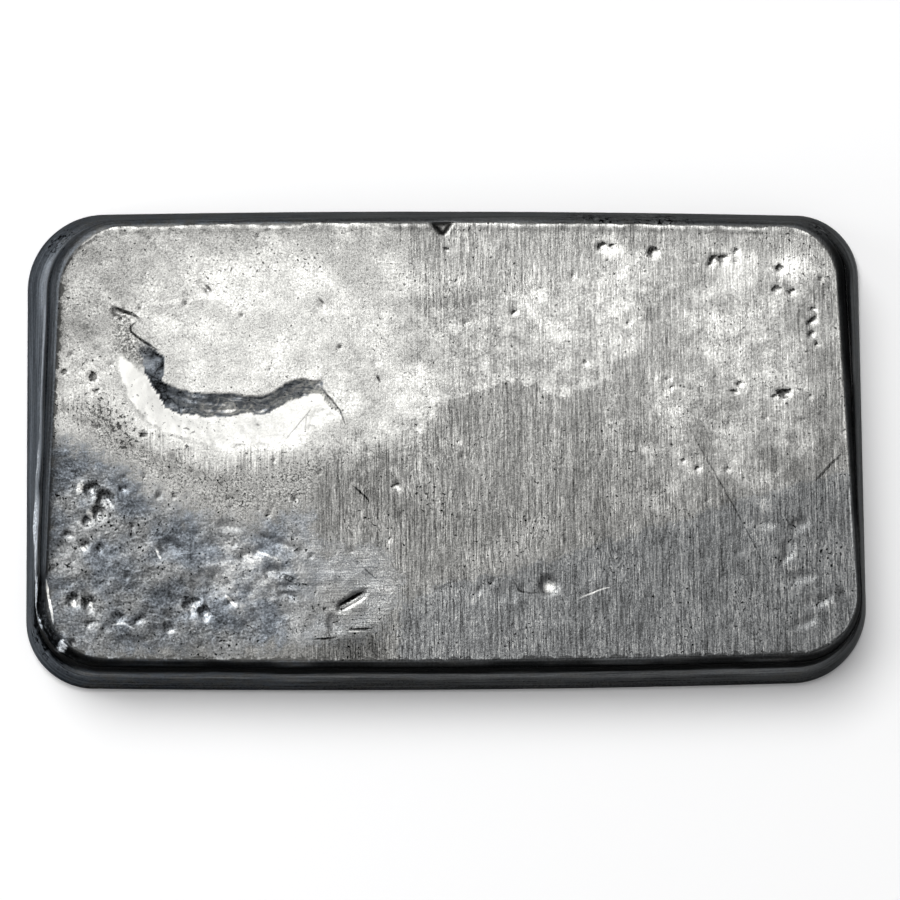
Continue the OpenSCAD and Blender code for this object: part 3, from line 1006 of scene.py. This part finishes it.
ragged = mixed(times(clouds, 5.0), (speckle, 2.5))
broken = mixed(ragged, (tool_lines, 6.0), (patches, 6.0))
in_frost = share_of("frost", -1.6, 1.6, (broken, 1.0))
sharp_pale = share_of("pale", -0.25, 0.25, (ragged, 0.5))
soft_pale = share_of("pale", -5.0, 7.0, (ragged, 1.0), (patches, 30.0))
in_pale = between(rise(at_x, 11.0, 17.0), sharp_pale, soft_pale)
in_dusk = share_of("dusk", -0.3, 0.3, (ragged, 0.5))
in_belt = share_of("belt", -1.2, 1.8, (broken, 1.0))
in_chill = share_of("chill", -1.2, 1.2, (ragged, 1.0), (patches, 4.0))
in_tongue = times(share_of("chill", -0.3, 0.3, (ragged, 0.4)), rise(at_x, -16, -11))
in_rubble = share_of("rubble", -0.4, 0.4, (ragged, 0.6))
# Where the wall's painted highlights lie
in_wall_glint = share_of("wall_glint", 0.35, 0.75, (clouds, 1.2), (streaks, 0.8), (speckle, 0.5))


def skin_tone():
    """The skin of the face, from the brushed metal up, each zone over the last."""
    pepper = rise(mixed(speckle, (clouds, 0.5)), 0.06, 0.16)
    tone = calc("MAXIMUM", mixed(BRUSHED_TONE, (at_y, BRUSHED_RISE)), BRUSHED_LEAST)
    tone = mixed(tone, (lines, 1.0), (patches, 0.26), (speckle, 0.36), (grains, 0.36), (in_dusk, -0.04))
    pale = mixed(PALE_TONE, (lines, 0.6), (patches, 0.5), (clouds, 0.6), (speckle, 0.8))
    tone = total(between(in_pale, tone, pale), rise(at_y, 15, 20, 0.0, -0.08))

    frost = mixed(FROST_TONE, (patches, 0.4), (clouds, 0.55), (speckle, 0.75), (grains, 0.4))
    frost = mixed(frost, (times(pepper, rise(patches, 0.06, -0.08)), -0.3))
    frost = total(frost, rise(at_x, -28, -36, 0.0, -0.08), rise(at_y, 14, 19.5, 0.0, -0.13))
    belt = mixed(BELT_TONE, (clouds, 0.5), (speckle, 2.0), (pepper, -0.4))
    cold = mixed(rise(at_x, -14, -34, 0.46, 0.37), (patches, 0.42), (clouds, 0.38), (speckle, 0.7))
    cold = mixed(cold, (mottle((1.6, 3.2, 1.0), 3, 0.7), 0.3))
    tongue = mixed(TONGUE_TONE, (mottle((0.4, 7, 1), 2, 0.7), 0.5), (clouds, 0.1), (grains, 0.55))
    for share, skin in ((in_frost, frost), (in_belt, belt), (in_chill, cold), (in_tongue, tongue)):
        tone = between(share, tone, skin)

    # Stains and clean spots, with a painted highlight in the dimple and painted light over the lumps' shade
    tone = total(tone, marked("stain_and_light"))
    # The slope is painted nearly white, as a painted highlight
    slope_highlight_tone = mixed(rise(at_x, -22, -28, 0.96, 1.05), (speckle, 0.4), (clouds, 0.2), (patches, 0.15))
    tone = between(rise(times(in_slope, mixed(1.0, (clouds, 3.0))), 0.0, 0.55), tone, slope_highlight_tone)
    return between(in_rubble, tone, mixed(RUBBLE_TONE, (speckle, 2.0), (clouds, 0.6)))


def lip_tone():
    """The torn metal of the lip: shells at the left, layers in the middle, hatching at the right, and
    painted shade over its left end.
    """
    bend = noise((0.7, 0.7, 0.7)).outputs["Color"]
    shells = nodes.new("ShaderNodeTexVoronoi")
    shells.feature = "DISTANCE_TO_EDGE"
    shells.inputs["Scale"].default_value = 1.0
    join(shells.inputs["Vector"], vector("ADD", vector("MULTIPLY", in_mm, (0.48, 0.6, 0.3)), bend))
    from_rim = shells.outputs[0]
    on_rim = rise(from_rim, 0.04, 0.01)
    tone = mixed(LIP_TONE, (from_rim, 0.5), (on_rim, rise(at_x, -24, -22, -0.12, 0.05)))

    fallen = marked("fall")
    layered = mixed(times(fallen, TEAR_LAYERS), (mottle((0.5, 0.9, 0.5), 2), 5.0))
    crest = rise(calc("SINE", times(layered, 2 * math.pi)), 0.1, 1.0)
    in_layers = times(rise(at_x, -25, -22), rise(at_x, -16, -17.5))
    hatch = mottle((2.0, 6.0, 2.0), 2)
    tone = mixed(tone, (times(crest, in_layers), 0.16), (hatch, rise(at_x, -17, -14, 0.25, 0.9)))

    tone = mixed(tone, (clouds, 0.6), (speckle, 0.5), (rise(fallen, 0.2, 0.0), -0.15))
    tone = total(tone, rise(at_x, -16.5, -13, 0.0, 0.12))
    # Painted shade over the left end of the lip
    return total(tone, rise(at_x, -25.0, -26.5, 0.0, -0.14), rise(at_x, -26.4, -27.2, 0.0, -0.1))


def hole_shade_and_highlight(tone):
    """Painted shade and painted highlight in each gas hole: dark on its far left side, which faces away
    from the key lamp, and light on its near right one.
    """
    gap = marked("hole_gap")
    tone = total(tone, rise(gap, 0.8, 0.1, 0.0, 0.04))
    hole_highlight_tone = rise(at_x, -28, -14, 0.5, 0.78)
    # Painted shade on the hole's far left side, painted highlight on its near right one
    hollow = mixed(rise(marked("hole_lit_side"), -0.5, 0.6, 0.27, hole_highlight_tone), (speckle, 1.1))
    return between(rise(mixed(gap, (speckle, 0.5)), 0.04, -0.08), tone, hollow)


def edged(tone):
    """The nick is dark, the burr is lighter, bare metal with a painted highlight on the far edge, and the
    wall's oxide creeps over the edge in places.
    """
    tone = between(marked("nick"), tone, mixed(NICK_TONE, (clouds, 0.3)))
    # The burr's bare metal, with a painted highlight along the far edge
    tone = mixed(tone, (times(marked("burr"), rise(clouds, -0.12, 0.1)), 0.25))
    crept = rise(mixed(marked("from_sides"), (clouds, 1.6), (speckle, 0.5)), 0.2, 0.02)
    return between(times(crept, 0.8), tone, CREPT_TONE)


def pinhole_shade_and_specks(tone):
    """Dark flecks in the skin, the painted shade of pinholes, and patches of black specks."""
    pinhole_shade = rise(mixed(mottle((3.1, 3.1, 3.1), 1), (patches, 0.4)), 0.2, 0.23)
    specks = rise(mixed(speck_grain, (speckle, 0.6), (charring, 0.16)), 0.15, 0.2)
    specks = times(specks, in_charred, rise(in_slope, 0.3, 0.1))
    return between(specks, mixed(tone, (pinhole_shade, -0.35)), FACE_SPECK_TONE)


def scarred_and_glinted(tone):
    """Scratches and cracks, and the painted highlights and shade among them, each with an uneven edge."""
    gap = calc("ABSOLUTE", mixed(marked("scar_glint_side"), (clouds, 0.25), (speckle, 0.12)))
    scar = rise(calc("SUBTRACT", gap, marked("scar_glint_width")), 0.05, -0.05)
    return mixed(tone, (scar, marked("scar_glint_change")))


def wall_tone():
    """The oxide on the wall, with its painted shade and highlight, in long level streaks, with charred
    specks and a painted highlight on its ridge.
    """
    tone = times(marked("oxide_and_light"), mixed(1.0, (streaks, 1.3), (speckle, 0.7)))
    tone = mixed(tone, (times(charring, rise(speck_grain, -0.04, -0.14)), 0.14))
    grain = mixed(speck_grain, (speckle, 0.8), (clouds, 0.5), (charring, 0.16))
    tone = between(times(rise(grain, 0.16, 0.24), in_charred), tone, WALL_SPECK_TONE)
    # The painted highlights on the left wall's ridge and the near left corner
    return between(in_wall_glint, tone, mixed(WALL_GLINT_TONE, (speckle, 1.6), (streaks, 0.6)))


tone = between(in_tear, skin_tone(), lip_tone())
for feature in (hole_shade_and_highlight, edged, pinhole_shade_and_specks, scarred_and_glinted):
    tone = feature(tone)
tone = times(between(on_face, wall_tone(), tone), TONE_SCALE)
tone = calc("MINIMUM", calc("MAXIMUM", tone, DARKEST), LIGHTEST)

# The metal is bluer in the chilled corner, in the tear and on the left wall
blue = mixed(in_tear, (in_chill, rise(patches, 0.1, -0.1, 0.3, 1.0)), (in_dusk, 0.3))
blue = times(blue, rise(tone, 0.75, 0.4), mixed(1.0, (in_tongue, -0.6)))
blue = calc("MINIMUM", mixed(blue, (on_wall, rise(at_x, -33, -38, 0.12, 0.8))), 1.0)
metal = nodes.new("ShaderNodeMix")
metal.data_type = "RGBA"
for number, value in zip((0, 6, 7), (blue, WARM_SILVER, BLUE_SILVER)):
    join(metal.inputs[number], value)
colour = vector("SCALE", metal.outputs[2])
# Painted shade in the bowl of each pore
pore_shade = times(rise(marked("pore"), 0.3, 0.9), 0.8)
join(colour.node.inputs["Scale"], between(pore_shade, calc("POWER", tone, TONE_CURVE), PORE_SHADE_TONE))
join(shader.inputs["Base Color"], colour)

gloss = mixed(0.42, (in_frost, 0.1), (in_chill, -0.06), (in_slope, 0.15), (clouds, 0.25))
join(shader.inputs["Roughness"], between(on_wall, gloss, rise(at_x, -33, -37, 0.5, 0.38)))
# The slope, with its painted highlight, and the painted highlight on the left wall's ridge throw light
# every way, as a matt surface does
join(shader.inputs["Metallic"], mixed(1.0, (in_slope, -0.6), (in_wall_glint, -0.6)))

# The oxide swallows the light that bare metal would throw back at a low angle
edge_light = nodes.new("ShaderNodeCombineColor")
for socket in edge_light.inputs:
    join(socket, rise(on_face, 0.0, 1.0, 0.3, 1.0))
join(shader.inputs["Specular Tint"], edge_light.outputs[0])

bump = nodes.new("ShaderNodeBump")
wrinkled = times(rise(marked("chill"), -1, 1), rise(at_x, -11, -15))
bump.inputs["Strength"].default_value = 1.0
bump.inputs["Distance"].default_value = GRAIN_HEIGHT
join(bump.inputs["Height"], mixed(times(lines, 0.5), (speckle, 0.6), (times(wrinkled, clouds), 1.7)))
join(shader.inputs["Normal"], bump.outputs[0])


# ---- The pores -----------------------------------------
# Pinholes where gas boiled out of the freezing silver. They are scattered over
# the skin, thickest in the grainy belt, and sink it like small bowls.

# Lengths here are in metres, as the mesh is, and the depth is a share of each pore's size
PORE_DENSITY = 6e5
PORE_INPUTS = {
    "Spacing": ("Float", 0.0007),
    "Smallest": ("Float", 0.00012),
    "Largest": ("Float", 0.00026),
    "Depth": ("Float", 0.6),
    "Seed": ("Int", 7),
    "Finish": ("Material", finish),
}

tree = bpy.data.node_groups.new("pores", "GeometryNodeTree")
tree.is_modifier = True
tree.interface.new_socket("Geometry", in_out="INPUT", socket_type="NodeSocketGeometry")
for name, (kind, _) in PORE_INPUTS.items():
    tree.interface.new_socket(name, in_out="INPUT", socket_type="NodeSocket" + kind)
tree.interface.new_socket("Geometry", in_out="OUTPUT", socket_type="NodeSocketGeometry")


def place_node(kind, data_type=None, **inputs):
    """Adds a node to the pores' tree, with its inputs set or linked by name. Returns its
    first output that is in use."""
    node = tree.nodes.new(kind)
    if data_type:
        node.data_type = data_type
    for name, value in inputs.items():
        join(next(s for s in node.inputs if s.name == name.replace("_", " ") and s.enabled), value)
    return next((s for s in node.outputs if s.enabled), None)


given = tree.nodes.new("NodeGroupInput").outputs
in_pores = {"within": tree.nodes}
here = place_node("GeometryNodeInputPosition")

# The pores' places and sizes
scatter = tree.nodes.new("GeometryNodeDistributePointsOnFaces")
scatter.distribute_method = "POISSON"
for name, value in {
    "Mesh": given["Geometry"],
    "Distance Min": given["Spacing"],
    "Density Max": PORE_DENSITY,
    "Density Factor": place_node("GeometryNodeInputNamedAttribute", "FLOAT", Name="porous"),
    "Seed": given["Seed"],
}.items():
    join(scatter.inputs[name], value)
sizes = place_node(
    "FunctionNodeRandomValue", "FLOAT", Min=given["Smallest"], Max=given["Largest"], Seed=given["Seed"]
)
sized = place_node(
    "GeometryNodeStoreNamedAttribute", "FLOAT", Geometry=scatter.outputs["Points"], Name="size", Value=sizes
)

# Each point of the skin sinks by the bowl of the pore that is nearest to it
nearest = place_node("GeometryNodeSampleNearest", Geometry=sized, Sample_Position=here)
pore_at = place_node("GeometryNodeSampleIndex", "FLOAT_VECTOR", Geometry=sized, Value=here, Index=nearest)
size_there = place_node("GeometryNodeInputNamedAttribute", "FLOAT", Name="size")
pore_size = place_node("GeometryNodeSampleIndex", "FLOAT", Geometry=sized, Value=size_there, Index=nearest)
away = vector("DISTANCE", here, pore_at, **in_pores)
reach = calc("DIVIDE", away, pore_size, **in_pores)
bowl_square = calc("SUBTRACT", 1.0, calc("MULTIPLY", reach, reach, **in_pores), **in_pores)
hollow = calc("SQRT", calc("MAXIMUM", bowl_square, 0.0, **in_pores), **in_pores)
sink = calc("MULTIPLY", calc("MULTIPLY", hollow, pore_size, **in_pores), given["Depth"], **in_pores)
inward = vector("SCALE", place_node("GeometryNodeInputNormal"), **in_pores)
join(inward.node.inputs["Scale"], calc("MULTIPLY", sink, -1.0, **in_pores))
noted = place_node(
    "GeometryNodeStoreNamedAttribute", "FLOAT", Geometry=given["Geometry"], Name="pore", Value=hollow
)
sunk = place_node("GeometryNodeSetPosition", Geometry=noted, Offset=inward)
real = place_node("GeometryNodeRealizeInstances", Geometry=sunk)
done = place_node("GeometryNodeSetMaterial", Geometry=real, Material=given["Finish"])
join(tree.nodes.new("NodeGroupOutput").inputs["Geometry"], done)

pores = bar.modifiers.new("pores", "NODES")
pores.node_group = tree
for item in tree.interface.items_tree:
    if item.in_out == "INPUT" and item.name in PORE_INPUTS:
        pores[item.identifier] = PORE_INPUTS[item.name][1]
bar.data = bpy.data.meshes.new_from_object(bar.evaluated_get(bpy.context.evaluated_depsgraph_get()))
bar.modifiers.clear()

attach(bar, "root")
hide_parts("ingot")


# ---- The floor, the lamps and the camera ---------------
# A pale floor and soft lamps, with the key lamp beyond the far side of the bar,
# so what faces the near side falls into shade.

FLOOR_HALF = 2
floor_mesh = bpy.data.meshes.new("floor")
floor_corners = [(across * FLOOR_HALF, along * FLOOR_HALF, 0) for across, along in CORNER_SIGNS]
floor_mesh.from_pydata(floor_corners, [], [(0, 1, 2, 3)])
floor = add_object("floor", floor_mesh)
paper = bpy.data.materials.new("pale_floor")
paper.use_nodes = True
paper_shader = paper.node_tree.nodes["Principled BSDF"]
paper_shader.inputs["Base Color"].default_value = (0.9, 0.9, 0.9, 1)
paper_shader.inputs["Roughness"].default_value = 0.8
floor_mesh.materials.append(paper)


def lamp(name, place, width, depth, watts):
    """A soft lamp that faces the bar."""
    light = bpy.data.lights.new(name, "AREA")
    light.shape = "RECTANGLE"
    light.size, light.size_y = width, depth
    light.energy = watts
    body = add_object(name, light)
    body.location = place
    body.rotation_euler = (-Vector(place)).to_track_quat("-Z", "Y").to_euler()


lamp("soft_top", (0, 0, 1.2), 2.0, 2.0, 6.3)
lamp("soft_key", (-0.27, 0.4, 0.88), 0.6, 0.6, 8.6)
lamp("left_strip", (-0.6, 0.0, 0.22), 0.5, 0.1, 1.3)

world = bpy.data.worlds.new("studio")
world.use_nodes = True
world.node_tree.nodes["Background"].inputs["Color"].default_value = (0.12, 0.12, 0.125, 1)
bpy.context.scene.world = world

CAMERA_AT = Vector((-0.01786, -0.03235, 0.30227))
CAMERA_AIM = Vector((0.0, -0.0005, 0.0045))
CAMERA_ROLL = math.radians(0.56)
CAMERA_LENS = 127

eye = bpy.data.cameras.new("camera")
eye.lens = CAMERA_LENS
eye.sensor_width = 36
eye.clip_start = 0.01
camera = add_object("camera", eye)
forward = (CAMERA_AIM - CAMERA_AT).normalized()
sideways = forward.cross(Vector((math.sin(CAMERA_ROLL), math.cos(CAMERA_ROLL), 0))).normalized()
upward = sideways.cross(forward)
turned = Matrix((sideways, upward, -forward)).transposed().to_4x4()
camera.matrix_world = Matrix.Translation(CAMERA_AT) @ turned
bpy.context.scene.camera = camera
bpy.context.scene.view_settings.view_transform = "Standard"
